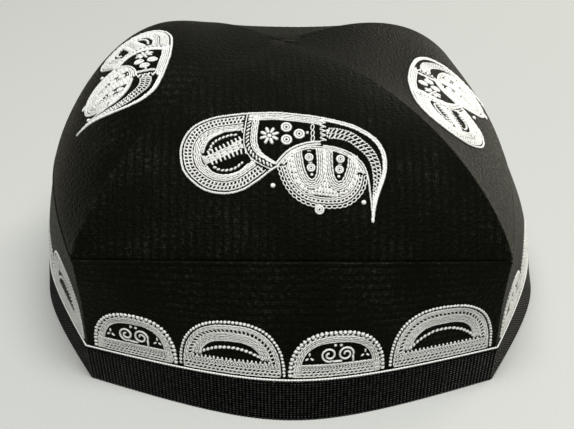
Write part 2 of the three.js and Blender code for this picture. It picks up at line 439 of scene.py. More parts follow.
CORD_RADIUS = 0.31  # the twisted cord, without the slack round it
PLY_RADIUS = CORD_RADIUS * 0.6
PLY_PITCH = 2.0
PLY_COLUMNS = 560
PLY_SIDES = 6
# Painted shade at the sides of each ply, where the two plies meet; the thread material darkens
# it.
PLY_SHADE = 0.35  # how dark the sides of a ply are, on the scale of a stitch's edge, 1
CORD_LIFT = 0.4  # of the cord's middle, above the tape
CORD_LEVEL = (TAPE_HEIGHT + GAP + CORD_LIFT) / CREASE_HEIGHT
CORD_DEPTH = (TAPE + GAP) * (1 - CORD_LEVEL) - GAP - CORD_RADIUS


def ply_line(phase, face):
    """One of the lines of points along a ply; phase is its place in the twist, station by
    station, and face is the line's own place round the ply."""
    swing = CORD_RADIUS - PLY_RADIUS
    out = swing * np.cos(phase) + PLY_RADIUS * np.cos(phase + face)
    up = swing * np.sin(phase) + PLY_RADIUS * np.sin(phase + face)
    parts = []
    for i, quarter in enumerate(RING_ORDER):
        part = slice(i * PLY_COLUMNS, (i + 1) * PLY_COLUMNS)
        v = CORD_LEVEL + up[part] / CREASE_HEIGHT
        parts.append(band_point(quarter, v, side_places(PLY_COLUMNS), CORD_DEPTH - out[part]))
    return np.concatenate(parts)


def piping():
    """The white cord along the tape: two plies twisted together."""

    def middle(quarter, ts):
        return [band_point(quarter, CORD_LEVEL + 0 * ts, ts, CORD_DEPTH)]

    _, around, total = ring(middle, PLY_COLUMNS)
    twist = 2 * math.pi * round(RIM_LENGTH / PLY_PITCH) * around / total
    spin = 2 * math.pi * np.arange(PLY_SIDES) / PLY_SIDES
    count = len(around) * PLY_SIDES
    points = []
    thread = []
    for ply in range(2):
        phase = twist + math.pi * ply
        points.append(np.stack([ply_line(phase, face) for face in spin], 1).reshape(-1, 3))
        # The second coordinate is the painted shade at the sides of each ply.
        thread.append(np.stack([
            np.repeat(around, PLY_SIDES),
            np.tile(PLY_SHADE * np.abs(np.sin(spin)), len(around)),
            np.full(count, ply),
        ], 1))
    quads = grid_faces(len(around), PLY_SIDES, True, True)[:, ::-1]
    piece = make_mesh(
        "twisted_piping",
        np.concatenate(points),
        [quads, quads + count],
        thread_mm=np.concatenate(thread),
    )
    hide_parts("edge_piping")
    return piece


# Thread work in a side's flat coordinates

SPLINE_STEP = 0.3
SPREAD_STEP = 0.45  # between the points that mark the inside of an outline


def interpolated(line, far, places):
    """Points at places along a line; far is the place of each of its own points."""
    return np.stack([np.interp(places, far, line[:, i]) for i in range(2)], 1)


def resample(line, step):
    """A line divided again into even steps."""
    far = lengths(line)
    count = max(2, round(far[-1] / step) + 1)
    return interpolated(line, far, np.linspace(0, far[-1], count))


def spline(points):
    """A smooth line through points."""
    pts = np.asarray(points, float)
    pts = np.vstack([2 * pts[:1] - pts[1:2], pts, 2 * pts[-1:] - pts[-2:-1]])
    s = np.linspace(0, 1, 12, endpoint=False)[:, None]
    parts = []
    for a, b, c, d in zip(pts, pts[1:], pts[2:], pts[3:]):
        square = (2 * a - 5 * b + 4 * c - d) * s ** 2
        parts.append((2 * b + (c - a) * s + square + (3 * b - a - 3 * c + d) * s ** 3) / 2)
    parts.append(pts[-2][None])
    return resample(np.vstack(parts), SPLINE_STEP)


def places_on(line, shares):
    """Points at shares of a line's length."""
    far = lengths(line)
    return interpolated(line, far, np.asarray(shares) * far[-1])


def headings(line):
    """Unit directions along a line."""
    along = np.gradient(line, axis=0)
    return along / np.maximum(np.linalg.norm(along, axis=1, keepdims=True), 1e-9)


def unit_at(turn):
    """The unit direction at an angle in radians."""
    return np.array([math.cos(turn), math.sin(turn)])


def left_of(heading):
    return np.stack([-heading[:, 1], heading[:, 0]], 1)


def beside(line, distance):
    """A line moved to its left by a distance, one number or one for each point."""
    return line + left_of(headings(line)) * np.reshape(distance, (-1, 1))


def between_lines(a, b, share):
    """A line at a share of the way from line a to line b, one number or one for each point."""
    places = np.linspace(0, 1, max(len(a), len(b)))
    start, end = (interpolated(x, lengths(x) / lengths(x)[-1], places) for x in (a, b))
    share = np.reshape(share, (-1, 1))
    return start * (1 - share) + end * share


def inside(points, outline):
    """Which points lie inside a closed outline."""
    x, y = points[:, :1], points[:, 1:]
    ax, ay = outline[:, 0][None], outline[:, 1][None]
    bx, by = np.roll(ax, -1, 1), np.roll(ay, -1, 1)
    spans = (ay > y) != (by > y)
    rise = np.where(by == ay, 1e-9, by - ay)
    return (spans & (x < (bx - ax) * (y - ay) / rise + ax)).sum(1) % 2 == 1


def distance(points, line):
    """How far each point is from a line."""
    return np.sqrt(((points[:, None] - line[None]) ** 2).sum(2)).min(1)


SIDES_OF_STITCH = np.array([[0.0, 0.0], [-0.5, 0.42], [0.0, 1.0], [0.5, 0.42]])
SUNK = 0.15  # how deep a stitch starts in the cloth
TIP_RISE = 0.35  # height of a thread's ends, as a share of its own
UNEVEN_PLACE = 0.035  # standard deviations of stitches sewn by hand
UNEVEN_WIDTH = 0.06
UNEVEN_HEIGHT = 0.08
TONE_RANGE = 40  # each stitch takes its tone from a random place up to here in the material
FILL_SAMPLES = 7  # places on a laid stitch where it is tested against its outline


class Threads:
    """Stitches in flat coordinates and height, gathered into one mesh."""

    def __init__(self, seed):
        self.rng = np.random.default_rng(seed)
        self.points = []
        self.faces = []
        self.thread = []
        self.count = 0

    def add(self, points, faces, thread):
        self.points.append(points)
        self.faces.extend(f + self.count for f in faces)
        self.thread.append(thread)
        self.count += len(points)

    def stitches(self, start, end, width, height):
        """Straight stitches from the start points to the end points."""
        start, end = (np.atleast_2d(x).astype(float) for x in (start, end))
        n = len(start)
        if n == 0:
            return
        rough = self.rng.normal(0, UNEVEN_PLACE, (2, n, 2))
        start, end = start + rough[0], end + rough[1]
        run = end - start
        length = np.maximum(np.linalg.norm(run, axis=1), 1e-6)[:, None]
        heading = run / length
        side = left_of(heading)
        width = width * self.rng.normal(1, UNEVEN_WIDTH, n)
        height = height * self.rng.normal(1, UNEVEN_HEIGHT, n)
        round_off = np.minimum(0.45 * width[:, None], 0.3 * length)
        rings = []
        for place in (round_off, length - round_off):
            for across, up in SIDES_OF_STITCH:
                flat = start + heading * place - side * (across * width)[:, None]
                rings.append(np.column_stack([flat, up * (height + SUNK) - SUNK]))
        low = TIP_RISE * (height + SUNK) - SUNK
        tips = [np.column_stack([start, low]), np.column_stack([end, low])]
        points = np.stack(rings + tips, 1).reshape(-1, 3)
        # Ten points a stitch: two rings of four, and a tip at each end
        at = np.arange(n)[:, None] * 10
        faces = []
        for i in range(4):
            j = (i + 1) % 4
            faces.append(at + np.array([[i, j, 4 + j, 4 + i]]))
            faces.append(at + np.array([[8, j, i]]))
            faces.append(at + np.array([[9, 4 + i, 4 + j]]))
        chance = self.rng.uniform(0, TONE_RANGE, n)
        far = np.tile([0, 0, 0, 0, 1, 1, 1, 1, 0, 1.0], n) * np.repeat(length[:, 0], 10)
        # How far across the stitch each point lies; the thread material paints shade towards the
        # sides.
        edge = np.tile([*(2 * SIDES_OF_STITCH[:, 0])] * 2 + [1, 1], n)
        self.add(points, faces, np.column_stack([far, edge, np.repeat(chance, 10)]))

    def row(self, line, pitch, width, height, slant=0.0, length=None):
        """Stitches one after the other along a line, each turned by a slant in degrees."""
        total = lengths(line)[-1]
        count = max(1, round(total / pitch * self.rng.uniform(0.96, 1.04)))
        step = total / count
        half = (step * 1.08 if length is None else length) / 2
        first = self.rng.uniform(0.2, 0.8)
        middles = (np.arange(count) + first) * step
        start = places_on(line, np.clip((middles - half) / total, 0, 1))
        end = places_on(line, np.clip((middles + half) / total, 0, 1))
        turn = math.radians(slant)
        reach = (end - start) / 2
        reach = reach * math.cos(turn) + left_of(reach) * math.sin(turn)
        middle = (start + end) / 2
        self.stitches(middle - reach, middle + reach, width, height)

    def cord(self, line, width=1.0, height=0.6):
        """A twisted cord: short slanted stitches that lap over each other."""
        self.row(line, 0.62 * width, 0.62 * width, height, 33, 1.28 * width)

    def chain(self, line, width=1.3, pitch=1.5, height=0.55, thread=0.46):
        """Chain stitch: small loops that run into each other."""
        count = max(1, round(lengths(line)[-1] / pitch))
        shares = (np.arange(count) + 0.5) / count
        here, ahead = places_on(line, shares), places_on(line, shares + 0.01)
        for centre, way in zip(here, ahead - here):
            angle = math.degrees(math.atan2(way[1], way[0]))
            half = (width - thread) / 2
            self.tube(oval(centre, 0.52 * pitch, half, angle, 9), thread, height, True)

    def rope(self, line, width=1.1, pitch=1.45, height=0.65):
        """A string of fat slanted stitches, like beads."""
        self.row(line, pitch, width, height, 24, pitch * 1.12)

    def tube(self, line, width, height, closed=False):
        """One thread laid along a line."""
        if closed:
            line = line[:-1]
            wrapped = np.vstack([line[-1:], line, line[:1]])
            side = left_of(headings(wrapped))[1:-1]
        else:
            side = left_of(headings(line))
        n = len(line)
        taper = np.ones(n)
        if not closed:
            taper[[0, -1]] = TIP_RISE
        width, height = width * taper, height * taper
        rings = []
        for across, up in SIDES_OF_STITCH:
            flat = line - side * (across * width)[:, None]
            rings.append(np.column_stack([flat, up * (height + SUNK) - SUNK]))
        points = np.stack(rings, 1).reshape(-1, 3)
        faces = [grid_faces(n, 4, closed, True)]
        if not closed:
            last = 4 * (n - 1)
            faces.append(np.array([[3, 2, 1, 0], [last, last + 1, last + 2, last + 3]]))
        far = np.repeat(lengths(line), 4)
        # How far across the thread each point lies; the thread material paints shade towards the
        # sides.
        edge = np.tile(2 * SIDES_OF_STITCH[:, 0], n)
        chance = np.full(4 * n, self.rng.uniform(0, TONE_RANGE))
        self.add(points, faces, np.column_stack([far, edge, chance]))

    def strands(self, lines, width=0.56, height=0.5, pitch=1.7):
        """Rows of stem stitch: threads laid along lines, each stitch lapping over the last."""
        for line in lines:
            self.row(line, pitch, width, height, 5, 1.25 * pitch)

    def bead(self, centre, radius, height=0.7):
        """A knot: a low round bead."""
        around = np.linspace(0, 2 * math.pi, 8, endpoint=False)
        points = [np.column_stack([
            centre[0] + radius * k * np.cos(around),
            centre[1] + radius * k * np.sin(around),
            np.full(8, z),
        ]) for k, z in ((1, -SUNK), (1, 0.3 * height), (0.6, 0.85 * height))]
        points.append(np.array([[*centre, height], [*centre, -SUNK]]))
        quads = grid_faces(3, 8, False, True)
        fan = np.arange(8)
        nearest = (fan + 1) % 8
        top = np.stack([16 + fan, 16 + nearest, np.full(8, 24)], 1)
        under = np.stack([nearest, fan, np.full(8, 25)], 1)
        points = np.vstack(points)
        # Highest towards the bead's foot, where the thread material paints the most shade.
        edge = np.repeat([1.0, 0.7, 0.3, 0.0], [8, 8, 8, 2])
        chance = np.full(26, self.rng.uniform(0, TONE_RANGE))
        self.add(points, [quads, top, under], np.column_stack([points[:, 0], edge, chance]))

    def rosette(self, centre, radius):
        """A ring of thread with a smaller one in it and a dark middle."""
        for share, width in ((0.76, 0.5), (0.34, 0.36)):
            ring_line = oval(centre, radius * share, radius * share, 0, 20)
            self.tube(ring_line, radius * width, 0.6, True)

    def fill(self, outline, angle, keep_off=(), pitch=0.52, length=4.2):
        """Laid stitches side by side over an outline, kept off some lines by a distance."""
        way = unit_at(math.radians(angle))
        square = np.array([-way[1], way[0]])
        middle = (outline.max(0) + outline.min(0)) / 2
        reach = np.linalg.norm(np.ptp(outline, axis=0)) / 2
        rows, steps = np.arange(-reach, reach, pitch), np.arange(-reach, reach, length)
        i, j = np.meshgrid(rows, steps, indexing="ij")
        brick = np.where(np.arange(len(rows)) % 2, 0.5, 0)[:, None] * length
        centres = middle + (j + brick).ravel()[:, None] * way + i.ravel()[:, None] * square
        shares = np.linspace(-0.5, 0.5, FILL_SAMPLES)
        samples = centres[:, None] + shares[None, :, None] * way * length
        flat = samples.reshape(-1, 2)
        good = inside(flat, outline)
        for line, gap in keep_off:
            good &= distance(flat, line) > gap
        good = good.reshape(len(centres), FILL_SAMPLES)
        some = good.sum(1) > 1
        first = np.argmax(good, 1)
        last = FILL_SAMPLES - 1 - np.argmax(good[:, ::-1], 1)
        start = samples[np.arange(len(centres)), first]
        end = samples[np.arange(len(centres)), last]
        self.stitches(start[some], end[some], pitch * 1.3, 0.5)

    def piece(self, name, place):
        """The mesh, laid on the cap by place(p, q, height)."""
        flat = np.vstack(self.points)
        piece = make_mesh(name, place(*flat.T), self.faces, thread_mm=np.vstack(self.thread))
        piece.data.materials.append(THREAD)
        return piece


def oval(centre, half_length, half_width, angle, count):
    """A closed oval whose length lies at an angle in degrees."""
    turn = math.radians(angle)
    around = np.linspace(0, 2 * math.pi, count + 1)
    x, y = half_length * np.cos(around), half_width * np.sin(around)
    along = x * math.cos(turn) - y * math.sin(turn)
    above = x * math.sin(turn) + y * math.cos(turn)
    return np.asarray(centre, float) + np.column_stack([along, above])


def coil(centre, radius, turns, start, way):
    """A spiral from its outer end in, that starts at an angle in degrees."""
    s = np.linspace(0, 1, 44)
    angle = math.radians(start) + way * s * turns * 2 * math.pi
    reach = radius * (1 - 0.84 * s ** 1.5)
    line = np.column_stack([reach * np.cos(angle), reach * np.sin(angle)])
    return np.asarray(centre, float) + line


# The motif of a crown panel. The numbers here and in the functions below are its chart:
# places on the panel, distances from its lines, and widths, heights and pitches of thread.

BULB_EDGE = spline([
    (-13.8, 50.4), (-20.2, 49.9), (-25.8, 49.0), (-31.3, 46.4), (-34.5, 42.3), (-35.9, 37.6),
    (-35.7, 33.0), (-34.5, 29.0), (-31.0, 25.0), (-27.0, 22.4), (-21.5, 21.4), (-16.0, 22.3),
    (-11.0, 25.3), (-6.4, 29.0),
])
BULB_CORE = spline([
    (-15.6, 43.0), (-19.0, 43.3), (-23.0, 42.3), (-26.2, 40.3), (-28.6, 37.2), (-28.9, 33.8),
    (-27.4, 30.8), (-24.8, 28.7), (-21.2, 27.9), (-17.4, 28.6), (-13.4, 30.8), (-11.4, 32.2),
])
DIVIDER = spline([
    (-12.7, 49.5), (-13.5, 44.4), (-13.9, 39.6), (-13.1, 36.0), (-10.8, 33.4), (-8.0, 31.8),
    (-5.6, 30.6),
])
MOTIF_TOP = spline([
    (-13.8, 50.4), (-9.1, 50.4), (-4.7, 50.4), (0.3, 49.9), (5.3, 49.3), (10.3, 48.5),
    (15.3, 47.4), (20.1, 46.0), (24.2, 43.8), (27.6, 41.0), (29.6, 37.7), (30.5, 34.3),
    (30.5, 30.4), (29.8, 27.1), (28.5, 23.4), (27.2, 19.4), (26.5, 15.6), (26.1, 12.4),
])
BODY_FOOT = spline([
    (-4.9, 30.8), (-2.4, 34.0), (0.2, 36.3), (3.2, 37.7), (6.2, 38.5), (9.6, 38.7),
])
TAIL_INSIDE = spline([
    (10.0, 37.8), (14.0, 37.2), (18.0, 35.8), (21.0, 33.8), (23.2, 30.9), (24.3, 27.0),
    (24.9, 22.0), (25.4, 17.0), (25.8, 13.0),
])
BRAID = spline([
    (11.9, 42.3), (14.8, 42.3), (18.7, 41.3), (22.0, 38.8), (24.8, 36.0), (26.3, 33.2),
    (27.1, 29.9), (27.1, 26.4), (26.6, 22.6), (26.1, 19.6),
])
FLOWER_EDGE = spline([
    (-3.9, 30.6), (-2.4, 26.0), (0.3, 21.8), (4.2, 19.0), (8.7, 17.9), (13.1, 17.7),
    (17.0, 18.3), (20.3, 20.5), (22.6, 23.8), (23.5, 27.9),
])
FLOWER_TOP = spline([
    (-3.0, 31.2), (-0.8, 34.2), (2.2, 36.2), (6.0, 37.2), (10.0, 37.0), (14.0, 36.4),
    (17.6, 35.0), (20.6, 32.8), (22.4, 30.4), (23.2, 28.2),
])
LEFT_SLOT = spline([
    (3.3, 36.4), (4.0, 31.0), (5.1, 27.6), (6.5, 26.2), (7.6, 27.6), (8.0, 31.0), (7.7, 36.8),
])
RIGHT_SLOT = spline([
    (13.3, 36.3), (13.2, 31.0), (13.8, 27.2), (15.0, 25.5), (16.4, 27.0), (17.7, 31.0),
    (18.0, 34.8),
])
UPPER_SLOT_FOOT = spline([
    (-27.7, 34.7), (-25.0, 35.8), (-22.4, 36.9), (-19.6, 38.4), (-16.2, 40.0),
])
UPPER_SLOT_HEAD = spline([
    (-28.1, 35.4), (-26.7, 39.6), (-23.2, 42.2), (-19.0, 43.4), (-16.2, 43.2),
])
LOWER_SLOT_HEAD = spline([
    (-26.8, 32.0), (-24.0, 33.1), (-20.0, 34.7), (-17.0, 35.9), (-14.6, 36.2),
])
LOWER_SLOT_FOOT = spline([
    (-26.9, 31.4), (-25.1, 29.0), (-21.2, 27.9), (-17.2, 28.8), (-13.4, 32.0),
])


def bulb_line(distance_in):
    """The line that runs round the bulb at a distance inside its edge, up to the divider."""
    edge, core = (between_lines(BULB_EDGE, BULB_CORE, share) for share in (0, 1))
    gap = np.linalg.norm(core - edge, axis=1)
    line = between_lines(BULB_EDGE, BULB_CORE, np.clip(distance_in / gap, 0, 1))
    return line[distance(line, DIVIDER) > 1.75]


def pierced(work, lines, pitch=1.4, width=0.6, lean=0.5):
    """Slanted rungs between neighbouring lines, with the cloth showing between them."""
    for i, (a, b) in enumerate(zip(lines, lines[1:])):
        count = max(2, round(lengths(a)[-1] / pitch))
        shares = (np.arange(count) + 0.3 + 0.5 * (i % 2)) / (count + lean)
        work.stitches(places_on(a, shares), places_on(b, shares + lean / count), width, 0.42)


def inner_points(outline):
    """Points spread over the inside of an outline."""
    low, high = outline.min(0), outline.max(0)
    x, y = np.meshgrid(*(np.arange(low[i], high[i], SPREAD_STEP) for i in range(2)))
    spread = np.column_stack([x.ravel(), y.ravel()])
    return spread[inside(spread, outline)]


def bulb(work):
    """The round end: pierced rows, a ring of laid rows, and two combed slots."""
    pierced_lines = [bulb_line(d) for d in (1.5, 2.75, 4.05)]
    work.strands(pierced_lines, 0.5)
    pierced(work, pierced_lines, 1.32, 0.64)
    work.strands([bulb_line(d) for d in (4.8, 5.4, 6.0, 6.6)], 0.58)
    core = np.vstack([bulb_line(6.6), DIVIDER[::-1][8:] + [-1.4, 0]])
    upper = np.vstack([UPPER_SLOT_FOOT, UPPER_SLOT_HEAD[::-1]])
    lower = np.vstack([LOWER_SLOT_HEAD, LOWER_SLOT_FOOT[::-1]])
    slots = [(line, 0.1) for line in (upper, lower)]
    slots += [(inner_points(outline), 0.4) for outline in (upper, lower)]
    work.fill(core, 24, slots)
    work.cord(beside(UPPER_SLOT_HEAD, 0.25), 0.8)
    work.cord(beside(LOWER_SLOT_FOOT, -0.25), 0.8)
    for line, tip in ((UPPER_SLOT_FOOT, 1.45), (LOWER_SLOT_HEAD, -1.45)):
        comb = resample(line, 1.4)[1:]
        work.stitches(beside(comb, -0.5 * tip), beside(comb, tip), 0.72, 0.55)
    work.rope(beside(UPPER_SLOT_HEAD, -1.6)[4:-2], 0.9, 1.35)
    work.rope(beside(LOWER_SLOT_FOOT, 1.45)[4:-4], 0.9, 1.35)


def divider(work):
    """The two slanted columns and the band of cords between the bulb and the body."""
    work.row(beside(DIVIDER, -0.15), 1.4, 0.66, 0.6, -42, 1.9)
    work.strands([beside(DIVIDER, -1.3), beside(DIVIDER, 0.95)], 0.45)
    narrowing = np.interp(np.linspace(0, 1, len(DIVIDER)), [0, 0.6, 1], [1, 1, 0.45])
    work.strands([beside(DIVIDER, moved * narrowing) for moved in (1.5, 2.1, 2.7)], 0.6, 0.55)


def body(work):
    """The cords and the small flowers of the dark field."""
    top = MOTIF_TOP[:82]
    work.strands([beside(top, -moved) for moved in (1.2, 1.8, 2.4)], 0.66)
    work.cord(beside(top, -3.0), 0.7, 0.5)
    work.cord(beside(BODY_FOOT, 0.45), 0.95)
    centre = np.array([-7.0, 41.3])
    for i in range(8):
        way = unit_at(2 * math.pi * (i + 0.4) / 8)
        work.stitches(centre + 0.7 * way, centre + 3.4 * way, 1.3, 0.65)
    work.bead(centre, 0.75, 0.6)
    for ring in ((-1.5, 44.4), (2.6, 41.9), (-1.5, 39.8)):
        work.rosette(ring, 1.9)
    work.bead((5.2, 42.4), 0.5)
    for q in (44.5, 42.3, 40.3):
        work.tube(oval((6.9, q), 1.05, 0.5, 80, 14), 0.4, 0.45, True)
    for q in np.arange(40.1, 47.5, 1.6):
        work.stitches((9.1, q + 0.6), (11.4, q - 0.4), 0.72, 0.55)
        work.stitches((9.2, q - 0.6), (10.8, q - 0.3), 0.42, 0.45)


def tail(work):
    """The braid between two dark bands, and the cords that close on the tip."""
    outer = MOTIF_TOP[78:]
    closing = 1.3 - 0.5 * np.linspace(0, 1, len(outer)) ** 3
    work.strands([beside(outer, -closing), beside(outer[:-20], -0.8 * closing[:-20])], 0.62)
    half = np.interp(np.linspace(0, 1, len(BRAID)), [0, 0.4, 0.75, 1], [1.8, 1.6, 1.1, 0.35])
    lines = [beside(BRAID, share * half) for share in (1, 0, -1)]
    for line, width in zip(lines, (0.6, 0.4, 0.6)):
        work.row(line, 0.95, width, 0.5, 14)
    pierced(work, lines, 1.45, 0.62, -0.8)
    work.row(np.array([[11.6, 43.9], [11.6, 40.7]]), 1.0, 0.7, 0.5)
    work.cord(TAIL_INSIDE, 0.8)
    close = beside(MOTIF_TOP[-36:], -0.9)
    inner = beside(TAIL_INSIDE[-30:], 0.4)
    work.strands([between_lines(close, inner, share) for share in (0.35, 0.7)], 0.55)


def half_flower(work):
    """The half flower that hangs below the body."""
    work.chain(beside(FLOWER_EDGE, -0.15), 1.5, 1.65, 0.6, 0.42)
    ring_lines = [beside(FLOWER_EDGE, d) for d in (1.0, 1.95, 2.55)]
    work.strands(ring_lines, 0.5)
    pierced(work, ring_lines[:2], 1.4, 0.66, 0.3)
    slots = (LEFT_SLOT, RIGHT_SLOT)
    for slot in slots:
        for moved, height in ((0.3, 0.66), (1.0, 0.5), (1.62, 0.6), (2.24, 0.5), (2.86, 0.6)):
            work.strands([beside(slot, -moved)], 0.6, height, 1.5)
    outline = np.vstack([ring_lines[-1], FLOWER_TOP[::-1]])
    keep_off = [(slot, 2.75) for slot in slots] + [(inner_points(slot), 0.6) for slot in slots]
    work.fill(outline, 84, keep_off, 0.5, 3.6)
    work.strands([beside(FLOWER_TOP, moved) for moved in (-0.4, 0.25)], 0.6)
    for ring in ((5.6, 33.7), (6.2, 30.2), (15.6, 33.3), (15.2, 29.7)):
        work.rosette(ring, 1.45)
    for bar in ((5.6, 35.9), (15.8, 35.3), (6.0, 31.95), (15.4, 31.5)):
        work.stitches((bar[0] - 0.7, bar[1]), (bar[0] + 0.7, bar[1]), 0.4, 0.45)
    for tip in ((6.45, 27.9), (15.0, 27.4)):
        work.bead(tip, 0.5, 0.5)
    work.rosette((8.8, 16.6), 1.6)
    for dot in ((-5.9, 24.3), (22.8, 19.1)):
        work.bead(dot, 0.8, 0.75)


# Where the motif lies on the side panels: its p and q scaled about the middle, leant, moved
MOTIF_MIDDLE = 33.0
AS_CHARTED = {"scale": (1.0, 1.0), "lean": (0.0, 0.0), "moved": (0.0, 0.0)}
MOTIF_PLACES = {
    "right": {"scale": (1.0, 1.08), "lean": (0.0, 0.0), "moved": (-3.2, 0.2)},
    "left": {"scale": (0.62, 1.06), "lean": (0.14, -0.1), "moved": (17.6, 13.0)},
}


def crown_motif(quarter):
    """The white motif of one crown panel."""
    work = Threads(100 + quarter)
    outline = np.vstack([MOTIF_TOP[:0:-1], BULB_EDGE, beside(BODY_FOOT, -0.9)])
    work.cord(beside(resample(outline, 0.6), 0.45), 0.95)
    bulb(work)
    divider(work)
    body(work)
    tail(work)
    half_flower(work)
    us = np.linspace(1, 0.02, 400)
    up = lengths(crown_point(quarter, us, 0 * us))
    side = SIDES[quarter]
    at = MOTIF_PLACES.get(side["name"], AS_CHARTED)

    def place(p, q, height):
        above = q - MOTIF_MIDDLE
        along = at["moved"][0] + p * at["scale"][0] + above * at["lean"][0]
        q = MOTIF_MIDDLE + at["moved"][1] + above * at["scale"][1] + p * at["lean"][1]
        u = np.interp(q, up, us)
        left, right = (ridge_profile(side[key], u)[0] for key in ("left", "right"))
        return crown_point(quarter, u, 2 * (along + left) / (left + right) - 1, -height)

    return work.piece(f"embroidered_motif_{side['name']}", place)


# The arches of the band, charted in the same way above the piping

ARCH_STEP = 0.25


def arch_line(centre, half_width, height, inward=0.0, power=2.5):
    """An arch on the band's base line, moved inward by a distance."""
    angle = np.linspace(0, math.pi, 120)
    cos, sin = np.cos(angle), np.sin(angle)
    x = -half_width * np.sign(cos) * np.abs(cos) ** (2 / power)
    y = height * sin ** (2 / power)
    line = resample(np.column_stack([centre + x, y]), ARCH_STEP)
    moved = beside(line, -inward)
    return resample(moved[moved[:, 1] >= 0.2], ARCH_STEP) if inward else line


def level_line(centre, half_width, indent, q):
    """A line at a height across an arch, that ends at an indent from its sides."""
    return np.array([[centre - half_width + indent, q], [centre + half_width - indent, q]])


def base_rows(work, centre, half_width, levels, top):
    """The pierced rows along the foot of an arch, and dense rows over them up to its top."""
    lines = [resample(level_line(centre, half_width, 1.6, q), 0.3) for q in levels]
    work.strands(lines, 0.5)
    pierced(work, lines, 1.5, 0.68, 0.6)
    for i, q in enumerate(np.arange(levels[-1] + 0.6, top, 0.62)):
        line = level_line(centre, half_width, 1.6, q)
        work.row(line, 1.0, 0.6, 0.5, (28, -28)[i % 2], 1.1)


def spiral_arch(work, centre, half_width, height):
    """An arch with a beaded edge, and two spirals on its dark field."""
    def inward(*distances):
        return [arch_line(centre, half_width, height, d) for d in distances]

    edge = inward(0.7)[0]
    count = round(lengths(edge)[-1] / 1.5)
    for knob in places_on(edge, (np.arange(count) + 0.5) / count):
        for turn in work.rng.uniform(0, 3.1) + np.array([0, 1.6]):
            way = 0.82 * unit_at(turn)
            work.stitches(knob - way, knob + way, 1.15, 0.62)
    pierced(work, inward(1.25, 2.0), 1.85, 1.1, 0.0)
    work.strands(inward(2.1, 2.7, 3.3), 0.56, 0.55)
    work.cord(inward(3.9)[0], 0.62)
    base_rows(work, centre, half_width, (0.5, 1.55, 2.6), 4.2)
    work.chain(level_line(centre, half_width, 3.9, 4.5), 0.95, 1.3)
    left, right = centre - 2.75, centre + 2.75
    work.tube(coil((left, 8.2), 2.5, 1.6, -60, -1), 0.78, 0.62)
    work.tube(coil((right, 8.2), 2.5, 1.6, -20, 1), 0.78, 0.62)
    work.stitches((right + 2.3, 7.7), (right + 2.5, 4.9), 0.8, 0.6)
    work.stitches((centre - 1.7, 5.7), (centre + 1.7, 5.7), 0.8, 0.6)
    work.stitches((centre - 1.4, 12.0), (centre - 0.3, 11.3), 1.1, 0.6)
    work.stitches((centre + 1.5, 11.9), (centre + 0.5, 11.2), 1.1, 0.6)
    for way in (-1, 1):
        lobe = np.array([centre + way * (half_width - 7.0), 7.5])
        for turn in (90, 215, 325):
            tip = unit_at(math.radians(turn))
            work.stitches(lobe + 0.35 * tip, lobe + 1.8 * tip, 0.72, 0.5)


def slot_arch(work, centre, half_width, height):
    """An arch with a knobbed edge, pierced rows and a combed slot."""
    edge = arch_line(centre, half_width, height)
    half_slot = half_width - 7.4
    slot = arch_line(centre, half_slot, height - 7.4, power=3.0)

    def ring_at(distance_in):
        line = between_lines(edge, slot, distance_in / 7.5)
        foot = 0.3 if distance_in < 2 else 4.7 if distance_in < 4.5 else 5.9
        return line[line[:, 1] > foot]

    work.rope(ring_at(0.5), 1.05, 1.25, 0.65)
    work.strands([ring_at(d) for d in (1.75, 2.35)], 0.58)
    lines = [ring_at(d) for d in (2.85, 4.35)]
    work.strands(lines, 0.5)
    pierced(work, lines, 1.5, 0.56)
    work.strands([ring_at(d) for d in (4.8, 5.4, 6.0, 6.6)], 0.57)
    work.cord(ring_at(7.15), 0.62)
    base_rows(work, centre, half_width, (0.5, 1.7, 2.9), 4.9)
    s = np.linspace(-1, 1, 60)
    rise = (height - 16.0) * (1 - np.abs(s) ** 2.2)
    work.rope(np.column_stack([centre + (half_slot + 0.4) * s, 6.4 + rise]), 1.1)
    teeth = np.arange(centre - half_slot - 2.3, centre + half_slot + 2.5, 1.42)
    foot = np.column_stack([teeth, np.full(len(teeth), 4.4)])
    work.stitches(foot, foot + [0, 1.6], 0.7, 0.52)


ARCHES = [
    {"build": spiral_arch, "centre": -54.0, "half_width": 15.6, "height": 17.0},
    {"build": slot_arch, "centre": -19.8, "half_width": 18.0, "height": 19.6},
    {"build": spiral_arch, "centre": 15.1, "half_width": 16.2, "height": 16.8},
    {"build": slot_arch, "centre": 51.6, "half_width": 18.9, "height": 21.8},
]
ARCH_FOOT = (TAPE_HEIGHT + GAP + 0.75) / CREASE_HEIGHT  # just above the twisted cord


def band_arches(quarter):
    """The white arches on one side of the band."""
    work = Threads(200 + quarter)
    for arch in ARCHES:
        sway = work.rng.normal(0, 0.35, 3) * (quarter > 0)
        arch["build"](
            work, arch["centre"] + sway[0], arch["half_width"] + sway[1], arch["height"] + sway[2]
        )
    ts = np.linspace(-1, 1, 801)
    along = lengths(band_point(quarter, ARCH_FOOT + 0 * ts, ts))
    vs = np.linspace(ARCH_FOOT, 1, 200)
    up = lengths(band_point(quarter, vs, 0 * vs))

    def place(p, q, height):
        t = np.interp(p, along - along[-1] / 2, ts)
        v = np.interp(q, up, vs)
        return band_point(quarter, v, t, (TAPE + GAP) * (1 - v) - height)

    return work.piece(f"embroidered_arches_{SIDES[quarter]['name']}", place)


# Materials

WAVE_BANDS = 3.18  # bands to a unit of a wave texture whose scale is 1


